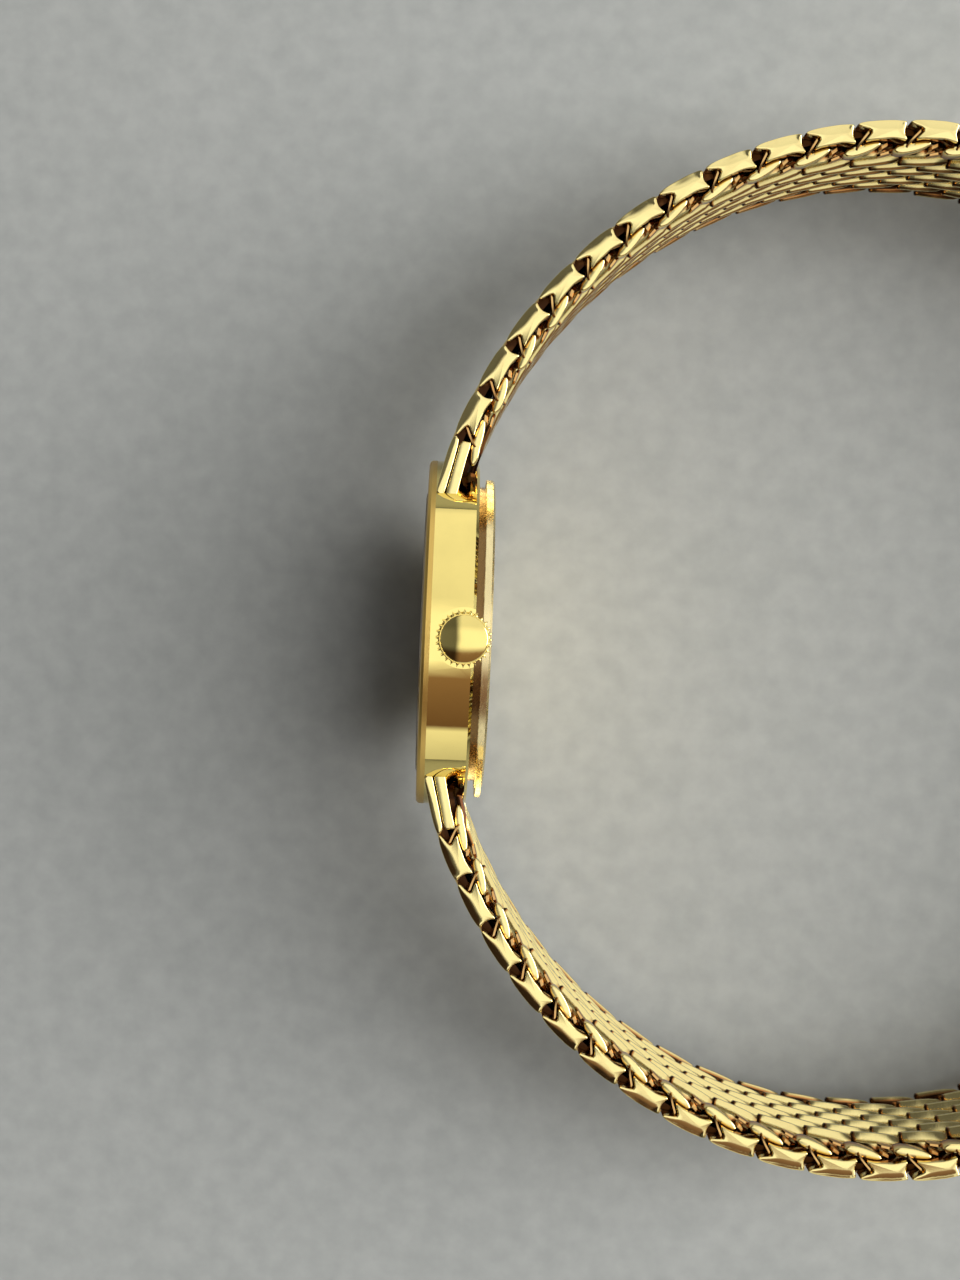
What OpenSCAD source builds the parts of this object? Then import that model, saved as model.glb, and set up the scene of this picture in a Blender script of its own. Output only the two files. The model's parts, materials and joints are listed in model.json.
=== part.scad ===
// A round ladies' dress watch on a woven link bracelet, lying on its side with the crown up.
// Row frame: X from the dial (-X) to the wrist (+X), Y towards 12 o'clock, Z towards 3 o'clock.
// The origin is the middle of the case back's outer face.
// The watch's own frame, used by every case and movement piece, has its z from the case back (0)
// to the crystal, its x at 3 o'clock and its y at 12 o'clock; on_case() turns it into the row frame.

/* [Case] */
// Diameter of the case
case_d = 21; // [20:0.1:25.2]
// Height of the case band, without back and bezel
band_h = 2.53; // [2.3:0.01:3.04]
// Wall of the case band
band_wall = 1.1; // [0.8:0.05:1.3]
// Height of the case back below the band
back_h = 0.97; // [0.85:0.01:1.2]
// Height of the rim of the case back
back_rim_h = 0.5; // [0.4:0.01:0.6]
// Height of the bezel above the band
bezel_h = 0.48; // [0.4:0.01:0.6]
// Diameter of the crystal
crystal_d = 17; // [15.5:0.1:17.4]
// Height that the crystal stands above the bezel
crystal_proud = 0.26; // [0.1:0.01:0.5]

/* [Crown] */
// Diameter over the flutes of the crown
crown_d = 3.24; // [2.8:0.02:3.6]
// Length of the crown
crown_len = 2.0; // [1.6:0.05:2.6]
// Number of flutes round the crown
flutes = 28; // [20:1:36]
// Height of the stem's axis above the outer face of the case back
stem_z = 1.6; // [1.55:0.01:1.7]
// Travel of the crown when it is pulled out
pull = 0.6; // [0.4:0.05:0.7]

/* [Bracelet] */
// Width of the bracelet
strap_w = 13; // [10.8:0.1:15.6]
// Thickness of the bracelet
strap_t = 2.0; // [1.7:0.05:2.4]
// Length that one link takes along the bracelet
pitch = 3.0; // [2.6:0.05:3.6]
// Links along one half of the bracelet, in segments of four
links = 24; // [20:4:24]
// Length of the clasp between its two hinge pins
clasp_len = 14.3; // [13:0.1:17]
// Depth of the loop over its height
loop_aspect = 0.933; // [0.85:0.01:1]
// Diameter of the bracelet's pins
pin_d = 0.7; // [0.5:0.02:0.8]

/* [Movement] */
// Diameter of the movement
movement_d = 15.2; // [15.2:0.1:15.6]
// Thickness of the dial
dial_t = 0.17; // [0.12:0.01:0.25]

/* [Fits] */
// Running clearance round a pin or pivot
run_gap = 0.03; // [0.02:0.01:0.06]
// Gap between neighbouring pieces
gap = 0.05; // [0.03:0.01:0.08]

/* [Hidden] */
$fn = 48;

// Case heights, from the outer face of the case back
case_r = case_d / 2;
bore_r = case_r - band_wall;
band_top = back_h + band_h;
bezel_top = band_top + bezel_h;
crystal_top = bezel_top + crystal_proud;
crystal_r = crystal_d / 2;
crystal_seat = band_top + 0.03;
back_floor = 0.45;
plug_h = 0.18;
flange_h = 0.08;
plug_r = bore_r - gap;
rim_r = bore_r + 0.05;
neck_r = rim_r - 0.45;
gasket_w = 0.4;
lip_r = rim_r + 0.55;
lip_mid = -72;
lip_half = 27;

// Movement heights
back_gap = 0.15;
bridge_z = back_floor + back_gap;
bridge_t = 0.35;
wheel_z = bridge_z + bridge_t;
plate_t = 0.7;
plate_z = wheel_z + 0.8;
plate_top = plate_z + plate_t;
dial_z = plate_top + 0.3;
dial_top = dial_z + dial_t;
dial_r = crystal_r + 0.1;
mov_r = movement_d / 2;
hour_z = dial_top + 0.1;
hand_t = 0.08;
minute_z = hour_z + hand_t + 0.1;
pivot_r = 0.09;
pivot_h = 0.21;
arbor_r = 0.14;
jewel_r = 0.4;
jewel_t = 0.2;

// Train: teeth and pitch radii, from the barrel to the escape wheel
barrel_teeth = 60;
centre_leaves = 12;
barrel_dist = 3.9;
barrel_r = barrel_dist * barrel_teeth / (barrel_teeth + centre_leaves);
centre_teeth = 75;
third_leaves = 10;
centre_r = 2.4;
third_teeth = 64;
fourth_leaves = 8;
third_r = 1.8;
fourth_teeth = 60;
escape_leaves = 6;
fourth_r = 1.5;
escape_r = 1.3;
third_dist = centre_r * (1 + third_leaves / centre_teeth);
fourth_dist = third_r * (1 + fourth_leaves / third_teeth);
escape_dist = fourth_r * (1 + escape_leaves / fourth_teeth);
balance_r = 2.6;
fork_dist = 1.5;

// Directions from one arbor to the next
barrel_dir = 65;
third_dir = 180;
fourth_dir = 250;
escape_dir = 300;
balance_dir = -14;
balance_dist = 4;

function polar(r, a) = [r * cos(a), r * sin(a)];
barrel_at = polar(barrel_dist, barrel_dir);
third_at = polar(third_dist, third_dir);
fourth_at = third_at + polar(fourth_dist, fourth_dir);
escape_at = fourth_at + polar(escape_dist, escape_dir);
balance_at = escape_at + polar(balance_dist, balance_dir);
fork_at = escape_at + polar(fork_dist, balance_dir);

// Heights of the wheels between the bridges and the main plate
centre_wheel_z = wheel_z + 0.03;
barrel_z = centre_wheel_z + 0.16;
barrel_h = plate_z - 0.03 - barrel_z;
third_wheel_z = wheel_z + 0.5;
fourth_wheel_z = wheel_z + 0.25;
escape_wheel_z = plate_z - 0.2;
balance_z = wheel_z + 0.2;
wheel_t = 0.1;
pallet_bridge_z = wheel_z + 0.44;
pallet_bridge_t = 0.1;

// Motion work under the dial
cannon_leaves = 12;
minute_teeth = 36;
minute_leaves = 10;
hour_teeth = 40;
motion_dist = 1.6;
motion_dir = -60;
motion_at = polar(motion_dist, motion_dir);
motion_low = plate_top + 0.03;
motion_high = plate_top + 0.15;
stud_r = 0.12;

// Winding work on the bridge side
wind_module = 0.1;
ratchet_teeth = 55;
crown_wheel_teeth = 34;
winding_leaves = 15;
ratchet_r = wind_module * ratchet_teeth / 2;
crown_wheel_r = wind_module * crown_wheel_teeth / 2;
crown_wheel_dir = -asin(barrel_at[1] / (ratchet_r + crown_wheel_r));
crown_wheel_at = barrel_at + polar(ratchet_r + crown_wheel_r, crown_wheel_dir);
click_dir = 175;
click_at = barrel_at + polar(ratchet_r + 0.55, click_dir);
click_len = 0.9;
click_stud_r = 0.16;
top_wheel_t = 0.14;
winding_r = stem_z - bridge_z - top_wheel_t - 0.02;
winding_u = 5.7;
winding_len = 0.7;
sliding_u = 4.5;
sliding_len = 0.9;
sliding_r = 0.7;
stem_r = 0.42;
stem_end = sliding_u - pull - 0.2;
lever_u = 6.6;
lever_at = [6.85, -2.0];
yoke_at = [4.7, -2.3];
tube_r = 0.62;
crown_u = case_r + 0.25;

// Posts that carry the bridges on the main plate, and the screws in them
post_r = 0.5;
post_at_r = mov_r - 0.75;
barrel_posts = [polar(post_at_r, 35), polar(post_at_r, 118)];
train_posts = [polar(post_at_r, 165), polar(post_at_r, 235)];
cock_posts = [polar(6.7, 320)];
fork_post_gap = 1.12;
fork_posts = [for (side = [-1, 1]) fork_at + side * polar(fork_post_gap, balance_dir + 90)];
head_r = 0.38;
head_h = 0.14;
screw_r = 0.2;
post_screws = concat(barrel_posts, train_posts, cock_posts);
casing_angles = [90, 210, 330];
casing_r = mov_r + 0.62;
ring_z = back_h + 0.65;

// Bracelet loop: an ellipse through both hinge pins of the end pieces
half_pitch = pitch / 2;
steps = 2 * links;
pin_y = case_r + 1.5;
pin_r = pin_d / 2;
pin_x = -1.5;
aspect_sum = 3 * (1 + loop_aspect);
aspect_root = sqrt((3 * loop_aspect + 1) * (loop_aspect + 3));
half_loop_ratio = PI / 2 * (aspect_sum - aspect_root);
wanted_half = pin_y * 1.03 + links * pitch + clasp_len / 2;
loop_b = wanted_half / half_loop_ratio;
loop_a = loop_b * loop_aspect;
first_t = asin(pin_y / loop_b);
loop_x = pin_x + loop_a * cos(first_t);
function loop_point(t) = [loop_x - loop_a * cos(t), loop_b * sin(t)];
way = [for (t = first_t, s = 0; t < 181; s = s + norm(loop_point(t + 1) - loop_point(t)), t = t + 1) [s, t]];
function pin_at(i) = loop_point(lookup(i * half_pitch, way));

// Lines of links across the width: odd lines hold the combs, even lines the single links
lines = 10;
line_w = strap_w / lines;
link_w = line_w - gap;
link_len = pitch - 0.22;
link_reach = (link_len - half_pitch) / 2;
link_round = 0.6;
odd_lines = [0:2:lines - 1];
even_lines = [1:2:lines - 1];
segment_links = 4;

// Clasp, drawn with its length along Y and its outer side at +X
clasp_y = pin_at(steps)[1];
clasp_x = pin_at(steps)[0];
plate_w = strap_w - 2 * gap;
leaf_t = 0.45;
cover_t = 0.35;
clasp_gap = 0.22;
bar_w = 0.8;
hinge_r = 0.55;
cover_hinge_y = -clasp_y + 1.9;
ladder_x = clasp_x - 0.75;
hook_x = ladder_x + leaf_t + clasp_gap;
cover_x = hook_x + leaf_t + clasp_gap;
cover_hinge_x = cover_x - hinge_r + cover_t;

gold = [0.90, 0.74, 0.38];
steel = [0.72, 0.73, 0.75];
brass = [0.80, 0.66, 0.36];
plate_grey = [0.70, 0.70, 0.68];
ruby = [0.72, 0.10, 0.22];

// Turns the watch's own frame into the row frame
module on_case() {
    rotate([0, -90, 0]) children();
}

// A ring between two radii and two heights
module ring(r_in, r_out, z0, z1) {
    translate([0, 0, z0]) difference() {
        cylinder(r = r_out, h = z1 - z0);
        translate([0, 0, -1]) cylinder(r = r_in, h = z1 - z0 + 2);
    }
}

// A round bar along the stem's axis
module stem_bar(r, u0, u1) {
    translate([u0, 0, stem_z]) rotate([0, 90, 0]) cylinder(r = r, h = u1 - u0);
}

// Outline of a toothed wheel; turn is the direction of one tooth, or of one space with space = true
module teeth(count, r, turn = 0, space = false) {
    size = 2 * r / count;
    tip = r + 0.8 * size;
    root = r - 1.1 * size;
    step = 360 / count;
    start = turn + (space ? step / 2 : 0);
    outline = [[root, -0.34], [tip, -0.13], [tip, 0.13], [root, 0.34]];
    polygon([for (i = [0:count - 1]) for (p = outline) polar(p[0], start + (i + p[1]) * step)]);
}

// A toothed wheel with a web of four arms
module arm_wheel(count, r, turn, space, hub) {
    rim = 4.4 * r / count + 0.12;
    linear_extrude(wheel_t) {
        difference() {
            teeth(count, r, turn, space);
            circle(r = r - rim);
        }
        difference() {
            circle(r = hub);
            circle(r = arbor_r - 0.02);
        }
        for (a = [45:90:315]) rotate(a) translate([hub - 0.1, -0.09]) square([r - rim - hub + 0.16, 0.18]);
    }
}

// An arbor with a thin pivot at each end, from z0 to z1
module arbor(z0, z1, r = arbor_r) {
    translate([0, 0, z0]) cylinder(r = pivot_r, h = z1 - z0);
    translate([0, 0, z0 + pivot_h]) cylinder(r = r, h = z1 - z0 - 2 * pivot_h);
}

// Case

module case_band() {
    color(gold) on_case() difference() {
        rotate_extrude($fn = 96) polygon([[bore_r, back_h], [case_r - 0.16, back_h],
            [case_r, back_h + 0.16], [case_r, band_top], [bore_r, band_top]]);
        stem_bar(tube_r, 0, case_r + 1);
        stem_bar(crown_d / 2 + 0.12, case_r - 0.3, case_r + 1);
    }
}

module bezel() {
    skirt = dial_top + 0.03;
    ledge = crystal_r - 0.2;
    color(gold) on_case() rotate_extrude($fn = 96) polygon([[ledge, skirt], [bore_r - gap, skirt],
        [bore_r - gap, band_top], [case_r, band_top], [case_r, bezel_top - 0.2],
        [case_r - 0.08, bezel_top - 0.06], [case_r - 0.24, bezel_top], [crystal_r + 0.12, bezel_top],
        [crystal_r + 0.12, band_top], [ledge, band_top]]);
}

module crystal() {
    dome = 0.16;
    color([0.85, 0.93, 0.96, 0.4]) on_case() rotate_extrude($fn = 96) polygon(concat(
        [[0, crystal_seat], [crystal_r, crystal_seat]],
        [for (i = [8:-1:0]) [crystal_r * i / 8, crystal_top - dome * (i / 8) * (i / 8)]]));
}

module crystal_gasket() {
    color("white") on_case() ring(crystal_r + 0.02, crystal_r + 0.1, crystal_seat, bezel_top - 0.03);
}

module case_back() {
    top = back_h + plug_h;
    color(gold) on_case() {
        rotate_extrude($fn = 96) polygon([[0, 0], [rim_r - 0.12, 0], [rim_r, 0.12], [rim_r, back_rim_h],
            [neck_r, back_rim_h], [neck_r, back_h], [plug_r, back_h + 0.01], [plug_r, back_h + flange_h],
            [plug_r - gasket_w, back_h + flange_h], [plug_r - gasket_w, top],
            [neck_r - 0.6, top], [neck_r - 0.6, back_floor], [0, back_floor]]);
        translate([0, 0, 0.14]) linear_extrude(back_rim_h - 0.2) intersection() {
            difference() {
                circle(r = lip_r, $fn = 96);
                circle(r = rim_r - 0.2, $fn = 96);
            }
            polygon(concat([[0, 0]],
                [for (a = [-lip_half:lip_half / 3:lip_half]) polar(2 * case_r, lip_mid + a)]));
        }
    }
}

module back_gasket() {
    color("dimgray") on_case() {
        ring(plug_r - gasket_w + 0.01, plug_r, back_h + flange_h + 0.01, back_h + plug_h);
    }
}

module movement_ring() {
    color(brass) on_case() difference() {
        ring(mov_r + gap, bore_r - gap, ring_z, dial_z);
        stem_bar(stem_r + 0.1, 0, case_r);
        for (a = casing_angles) rotate(a) {
            translate([casing_r, 0, 0]) cylinder(r = screw_r + run_gap, h = dial_z - 0.4);
        }
    }
}

module crown_tube() {
    color(gold) on_case() difference() {
        stem_bar(tube_r - run_gap, bore_r + 0.1, crown_u + 0.35);
        stem_bar(stem_r + run_gap, bore_r - 1, crown_u + 1);
    }
}

module dial() {
    color([0.93, 0.91, 0.84]) on_case() ring(0.62, dial_r, dial_z, dial_top);
}

module hour_markers() {
    color(gold) on_case() for (h = [0:11]) rotate(30 * h) {
        long = h % 3 == 0 ? 1.5 : 1.1;
        translate([dial_r - 0.75 - long, -0.11, dial_top]) cube([long, 0.22, 0.12]);
    }
}

// Movement plates

module jewel_hole(at, z0) {
    translate([at[0], at[1], z0 - 0.01]) cylinder(r = jewel_r, h = jewel_t + 0.02);
}

// Seats of the screws of a bridge
module screw_cuts(list) {
    for (at = list) {
        translate([at[0], at[1], bridge_z - 0.01]) cylinder(r = head_r + gap, h = head_h + 0.01);
        translate([at[0], at[1], bridge_z]) cylinder(r = screw_r + run_gap, h = plate_z - bridge_z + 0.1);
    }
}

// Seats of the jewels of a bridge, with a sink above each
module jewel_cuts(list) {
    for (at = list) {
        jewel_hole(at, wheel_z - jewel_t);
        translate([at[0], at[1], bridge_z - 0.1]) cylinder(r = 0.2, h = 0.5);
    }
}

// Recesses of the winding wheels, and channels over the pinions on the stem
module winding_cuts() {
    translate([barrel_at[0], barrel_at[1], bridge_z - 1]) cylinder(r = 0.5 + run_gap, h = 2);
    translate([barrel_at[0], barrel_at[1], bridge_z - 0.1]) {
        cylinder(r = ratchet_r + 0.2, h = top_wheel_t + 0.12);
    }
    translate([crown_wheel_at[0], crown_wheel_at[1], bridge_z - 0.1]) {
        cylinder(r = crown_wheel_r + 0.2, h = top_wheel_t + 0.12);
    }
    stem_bar(winding_r + 0.06, winding_u - 0.05, winding_u + winding_len + 0.05);
    stem_bar(sliding_r + 0.05, stem_end - 0.2, winding_u);
}

module posts(list, z0) {
    for (at = list) translate([at[0], at[1], z0]) cylinder(r = post_r, h = plate_z - z0);
}

module bridge_outline(points) {
    translate([0, 0, bridge_z]) linear_extrude(bridge_t) intersection() {
        circle(r = mov_r - 0.1, $fn = 96);
        polygon(points);
    }
}

barrel_edge = [[-7.6, 3.2], [0.95, 1.1], [2.2, 0.9], [2.4, -2.1]];
train_edge = [[-7.6, 3.0], [0, 0.75], [0.65, 0.3], [0.65, -0.7], [-0.9, -1.4], [-1.2, -4.6], [-2.7, -7.4]];

module barrel_bridge() {
    color(plate_grey) on_case() difference() {
        union() {
            bridge_outline(concat(barrel_edge, [[8, -2.1], [8, 8], [-8, 8]]));
            posts(barrel_posts, bridge_z + 0.1);
        }
        screw_cuts(barrel_posts);
        winding_cuts();
        translate([click_at[0], click_at[1], bridge_z - 0.1]) {
            cylinder(r = click_len + 0.1, h = top_wheel_t + 0.12);
            cylinder(r = click_stud_r + run_gap, h = bridge_t + 0.2);
        }
    }
}

module train_bridge() {
    color(plate_grey) on_case() difference() {
        union() {
            bridge_outline(concat(train_edge, [[-8, -8], [-8, 3.0]]));
            posts(train_posts, bridge_z + 0.1);
        }
        screw_cuts(train_posts);
        jewel_cuts([[0, 0], third_at, fourth_at, escape_at]);
    }
}

module balance_cock() {
    color(plate_grey) on_case() difference() {
        union() {
            translate([0, 0, bridge_z]) linear_extrude(bridge_t) {
                translate(balance_at) circle(r = 0.8);
                translate(cock_posts[0]) circle(r = 0.8);
                translate([balance_at[0], balance_at[1] - 0.7]) square([cock_posts[0][0] - balance_at[0], 1.4]);
            }
            posts(cock_posts, bridge_z + 0.1);
        }
        screw_cuts(cock_posts);
        jewel_cuts([balance_at]);
    }
}

module pallet_bridge() {
    color(plate_grey) on_case() difference() {
        union() {
            translate([0, 0, pallet_bridge_z]) linear_extrude(pallet_bridge_t) {
                for (at = fork_posts) translate(at) circle(r = 0.3);
                translate(fork_at) circle(r = 0.35);
                translate(fork_at) rotate(balance_dir + 90) square([2 * fork_post_gap, 0.4], center = true);
            }
            for (at = fork_posts) translate([at[0], at[1], pallet_bridge_z]) {
                cylinder(r = 0.26, h = plate_z - pallet_bridge_z);
            }
        }
        translate([fork_at[0], fork_at[1], 0]) cylinder(r = pivot_r + run_gap, h = plate_z);
    }
}

module main_plate() {
    color(plate_grey) on_case() difference() {
        union() {
            translate([0, 0, plate_z]) cylinder(r = mov_r, h = plate_t, $fn = 96);
            ring(mov_r - 0.7, mov_r, plate_top - 0.01, dial_z);
            translate([motion_at[0], motion_at[1], plate_top - 0.1]) cylinder(r = stud_r, h = motion_high - plate_top + 0.1);
        }
        for (at = [third_at, fourth_at, escape_at, fork_at, balance_at]) {
            jewel_hole(at, plate_z);
            translate([at[0], at[1], plate_z]) cylinder(r = 0.2, h = plate_t + 1);
        }
        translate([0, 0, plate_z - 1]) cylinder(r = arbor_r + run_gap, h = plate_t + 2);
        translate([barrel_at[0], barrel_at[1], plate_z - 1]) cylinder(r = 0.3 + run_gap, h = plate_t + 2);
        for (at = post_screws) translate([at[0], at[1], plate_z - 0.1]) cylinder(r = screw_r + run_gap, h = 0.6);
        stem_bar(stem_r + run_gap, stem_end - 0.1, mov_r + 1);
        stem_bar(winding_r + 0.1, sliding_u - 0.8, winding_u + winding_len + 0.1);
        translate([lever_u - 0.35, -0.7, plate_z - 0.5]) cube([0.7, 1.4, 0.9]);
    }
}

// Screws

module screw(length) {
    difference() {
        union() {
            cylinder(r = head_r, h = head_h);
            cylinder(r = screw_r, h = length);
        }
        translate([-head_r, -0.04, -0.01]) cube([2 * head_r, 0.08, 0.06]);
    }
}

module screws() {
    color("slategray") on_case() {
        for (at = post_screws) translate([at[0], at[1], bridge_z]) screw(plate_z - bridge_z + 0.4);
        for (a = casing_angles) rotate(a) translate([casing_r, 0, ring_z - head_h]) screw(0.75);
        translate([crown_wheel_at[0], crown_wheel_at[1], bridge_z - 0.1]) difference() {
            cylinder(r = 0.32, h = top_wheel_t + 0.12);
            translate([-1, -0.04, -0.01]) cube([2, 0.08, 0.05]);
        }
    }
}

module jewels() {
    color(ruby) on_case() {
        for (at = [[0, 0], third_at, fourth_at, escape_at, balance_at]) translate([at[0], at[1], 0]) {
            ring(pivot_r + run_gap, jewel_r, wheel_z - jewel_t, wheel_z);
        }
        for (at = [third_at, fourth_at, escape_at, fork_at, balance_at]) translate([at[0], at[1], 0]) {
            ring(pivot_r + run_gap, jewel_r, plate_z, plate_z + jewel_t);
        }
    }
}

// A flat spiral band from r0 to r1
module spiral(r0, r1, turns, band) {
    count = turns * 24;
    function radius(i) = r0 + (r1 - r0) * i / count;
    polygon(concat(
        [for (i = [0:count]) polar(radius(i), 15 * i)],
        [for (i = [count:-1:0]) polar(radius(i) + band, 15 * i)]));
}

module hairspring() {
    color("steelblue") on_case() translate([balance_at[0], balance_at[1], wheel_z + 0.03]) {
        linear_extrude(0.09) spiral(0.3, 1.15, 7, 0.03);
    }
}

// Hands and motion work

module hand(length, width, hole, tail) {
    linear_extrude(hand_t) difference() {
        union() {
            circle(r = hole + 0.22);
            polygon([[-width / 2, -tail], [width / 2, -tail], [width * 0.5, length * 0.25], [0.04, length],
                [-0.04, length], [-width * 0.5, length * 0.25]]);
        }
        circle(r = hole);
    }
}

module minute_hand() {
    color(gold) on_case() translate([0, 0, minute_z]) rotate(-48) hand(7.2, 0.34, 0.3, 1.2);
}

module hour_hand() {
    color(gold) on_case() translate([0, 0, hour_z]) rotate(56) hand(5.0, 0.46, 0.46, 1.0);
}

module cannon_pinion() {
    color(steel) on_case() {
        ring(0.16, 0.3, motion_low, minute_z + hand_t + 0.02);
        translate([0, 0, motion_low]) linear_extrude(wheel_t) difference() {
            teeth(cannon_leaves, motion_dist / 4, motion_dir);
            circle(r = 0.2);
        }
    }
}

module minute_wheel() {
    color(brass) on_case() translate([motion_at[0], motion_at[1], 0]) {
        translate([0, 0, motion_low]) linear_extrude(wheel_t) difference() {
            teeth(minute_teeth, motion_dist * 0.75, motion_dir + 180, true);
            circle(r = stud_r + run_gap);
        }
        translate([0, 0, motion_low + wheel_t]) linear_extrude(motion_high - motion_low) difference() {
            teeth(minute_leaves, motion_dist * 0.2, motion_dir + 180);
            circle(r = stud_r + run_gap);
        }
    }
}

module hour_wheel() {
    color(brass) on_case() {
        translate([0, 0, motion_high]) linear_extrude(wheel_t) difference() {
            teeth(hour_teeth, motion_dist * 0.8, motion_dir, true);
            circle(r = 0.3 + run_gap);
        }
        ring(0.3 + run_gap, 0.46, motion_high, hour_z + hand_t);
    }
}

// Going train

module centre_wheel() {
    color(brass) on_case() {
        arbor(bridge_z + 0.16, minute_z + hand_t);
        translate([0, 0, centre_wheel_z]) arm_wheel(centre_teeth, centre_r, third_dir, false, 0.4);
        translate([0, 0, barrel_z + 0.05]) linear_extrude(barrel_h - 0.1) {
            teeth(centre_leaves, barrel_dist - barrel_r, barrel_dir);
        }
    }
}

module third_wheel() {
    color(brass) on_case() translate([third_at[0], third_at[1], 0]) {
        arbor(bridge_z + 0.16, plate_z + jewel_t);
        translate([0, 0, third_wheel_z]) arm_wheel(third_teeth, third_r, fourth_dir, false, 0.36);
        translate([0, 0, wheel_z + 0.02]) linear_extrude(0.2) {
            teeth(third_leaves, third_dist - centre_r, third_dir + 180, true);
        }
    }
}

module fourth_wheel() {
    color(brass) on_case() translate([fourth_at[0], fourth_at[1], 0]) {
        arbor(bridge_z + 0.16, plate_z + jewel_t, 0.12);
        translate([0, 0, fourth_wheel_z]) arm_wheel(fourth_teeth, fourth_r, escape_dir, false, 0.32);
        translate([0, 0, third_wheel_z - 0.05]) linear_extrude(0.2) {
            teeth(fourth_leaves, fourth_dist - third_r, fourth_dir + 180, true);
        }
    }
}

module escape_wheel() {
    color(steel) on_case() translate([escape_at[0], escape_at[1], 0]) {
        arbor(bridge_z + 0.16, plate_z + jewel_t, 0.1);
        translate([0, 0, fourth_wheel_z - 0.05]) linear_extrude(0.2) {
            teeth(escape_leaves, escape_dist - fourth_r, escape_dir + 180, true);
        }
        translate([0, 0, escape_wheel_z]) linear_extrude(wheel_t) {
            difference() {
                circle(r = escape_r - 0.3);
                circle(r = escape_r - 0.45);
            }
            circle(r = 0.3);
            for (a = [0:90:270]) rotate(a) translate([0.2, -0.06]) square([escape_r - 0.6, 0.12]);
            for (i = [0:14]) rotate(24 * i + balance_dir) {
                polygon([[escape_r - 0.34, -0.1], [escape_r, 0.1], [escape_r - 0.02, 0.13], [escape_r - 0.34, 0.1]]);
            }
        }
    }
}

module barrel() {
    color(brass) on_case() translate([barrel_at[0], barrel_at[1], barrel_z]) difference() {
        union() {
            cylinder(r = barrel_r - 0.16, h = barrel_h);
            translate([0, 0, barrel_h - 0.16]) linear_extrude(0.16) {
                teeth(barrel_teeth, barrel_r, barrel_dir + 180, true);
            }
        }
        translate([0, 0, 0.1]) cylinder(r = barrel_r - 0.36, h = barrel_h - 0.2);
        translate([0, 0, -1]) cylinder(r = 0.3 + run_gap, h = 3);
    }
}

module mainspring() {
    color("steelblue") on_case() translate([barrel_at[0], barrel_at[1], barrel_z + 0.13]) {
        linear_extrude(barrel_h - 0.26) spiral(0.85, barrel_r - 0.5, 9, 0.08);
    }
}

module barrel_arbor() {
    color(steel) on_case() translate([barrel_at[0], barrel_at[1], 0]) {
        translate([0, 0, bridge_z + top_wheel_t + 0.02]) cylinder(r = 0.5, h = barrel_z - bridge_z - top_wheel_t - 0.04);
        translate([0, 0, bridge_z + 0.02]) cylinder(r = 0.3, h = plate_top - bridge_z - 0.04);
        translate([0, 0, barrel_z + 0.13]) cylinder(r = 0.75, h = barrel_h - 0.26);
    }
}

module ratchet_wheel() {
    color(steel) on_case() translate([barrel_at[0], barrel_at[1], bridge_z]) {
        linear_extrude(top_wheel_t) difference() {
            teeth(ratchet_teeth, ratchet_r, crown_wheel_dir);
            circle(r = 0.3 + run_gap);
        }
    }
}

module crown_wheel() {
    color(steel) on_case() translate([crown_wheel_at[0], crown_wheel_at[1], bridge_z]) {
        linear_extrude(top_wheel_t) difference() {
            teeth(crown_wheel_teeth, crown_wheel_r, crown_wheel_dir + 180, true);
            circle(r = 0.32 + run_gap);
        }
    }
}

module click() {
    color(steel) on_case() translate([click_at[0], click_at[1], bridge_z]) {
        linear_extrude(top_wheel_t) {
            circle(r = 0.32);
            rotate(click_dir + 120) polygon([[0, -0.2], [click_len, -0.06], [click_len, 0.06], [0, 0.2]]);
        }
        cylinder(r = click_stud_r, h = bridge_t - 0.02);
    }
}

module pallet_fork() {
    reach = fork_dist - escape_r * cos(30);
    span = escape_r * sin(30);
    color(steel) on_case() translate([fork_at[0], fork_at[1], 0]) rotate(balance_dir) {
        arbor(pallet_bridge_z + 0.01, plate_z + jewel_t, 0.09);
        translate([0, 0, escape_wheel_z]) linear_extrude(wheel_t) {
            circle(r = 0.22);
            translate([0, -0.07]) square([balance_dist - fork_dist - 0.62, 0.14]);
            for (side = [-1, 1]) {
                rotate(side * 112) translate([0, -0.08]) square([0.62, 0.16]);
                translate([balance_dist - fork_dist - 0.66, side * 0.1 - 0.05]) square([0.3, 0.1]);
                translate([-reach + 0.06, side * (span + 0.01) - 0.06]) square([0.24, 0.12]);
            }
            translate([balance_dist - fork_dist - 0.72, -0.15]) square([0.12, 0.3]);
        }
    }
}

module balance_wheel() {
    color(brass) on_case() translate([balance_at[0], balance_at[1], 0]) {
        arbor(bridge_z + 0.16, plate_z + jewel_t, 0.12);
        translate([0, 0, balance_z]) linear_extrude(0.14) {
            difference() {
                circle(r = balance_r, $fn = 96);
                circle(r = balance_r - 0.3, $fn = 96);
            }
            circle(r = 0.35);
            for (a = [0, 120, 240]) rotate(a) translate([0.2, -0.12]) square([balance_r - 0.4, 0.24]);
        }
        translate([0, 0, balance_z + 0.14]) cylinder(r = 0.32, h = escape_wheel_z - balance_z - 0.28);
        rotate(balance_dir + 180) translate([0.25, 0, escape_wheel_z - 0.15]) cylinder(r = 0.05, h = 0.12);
    }
}

// Crown, stem and setting parts

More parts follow.
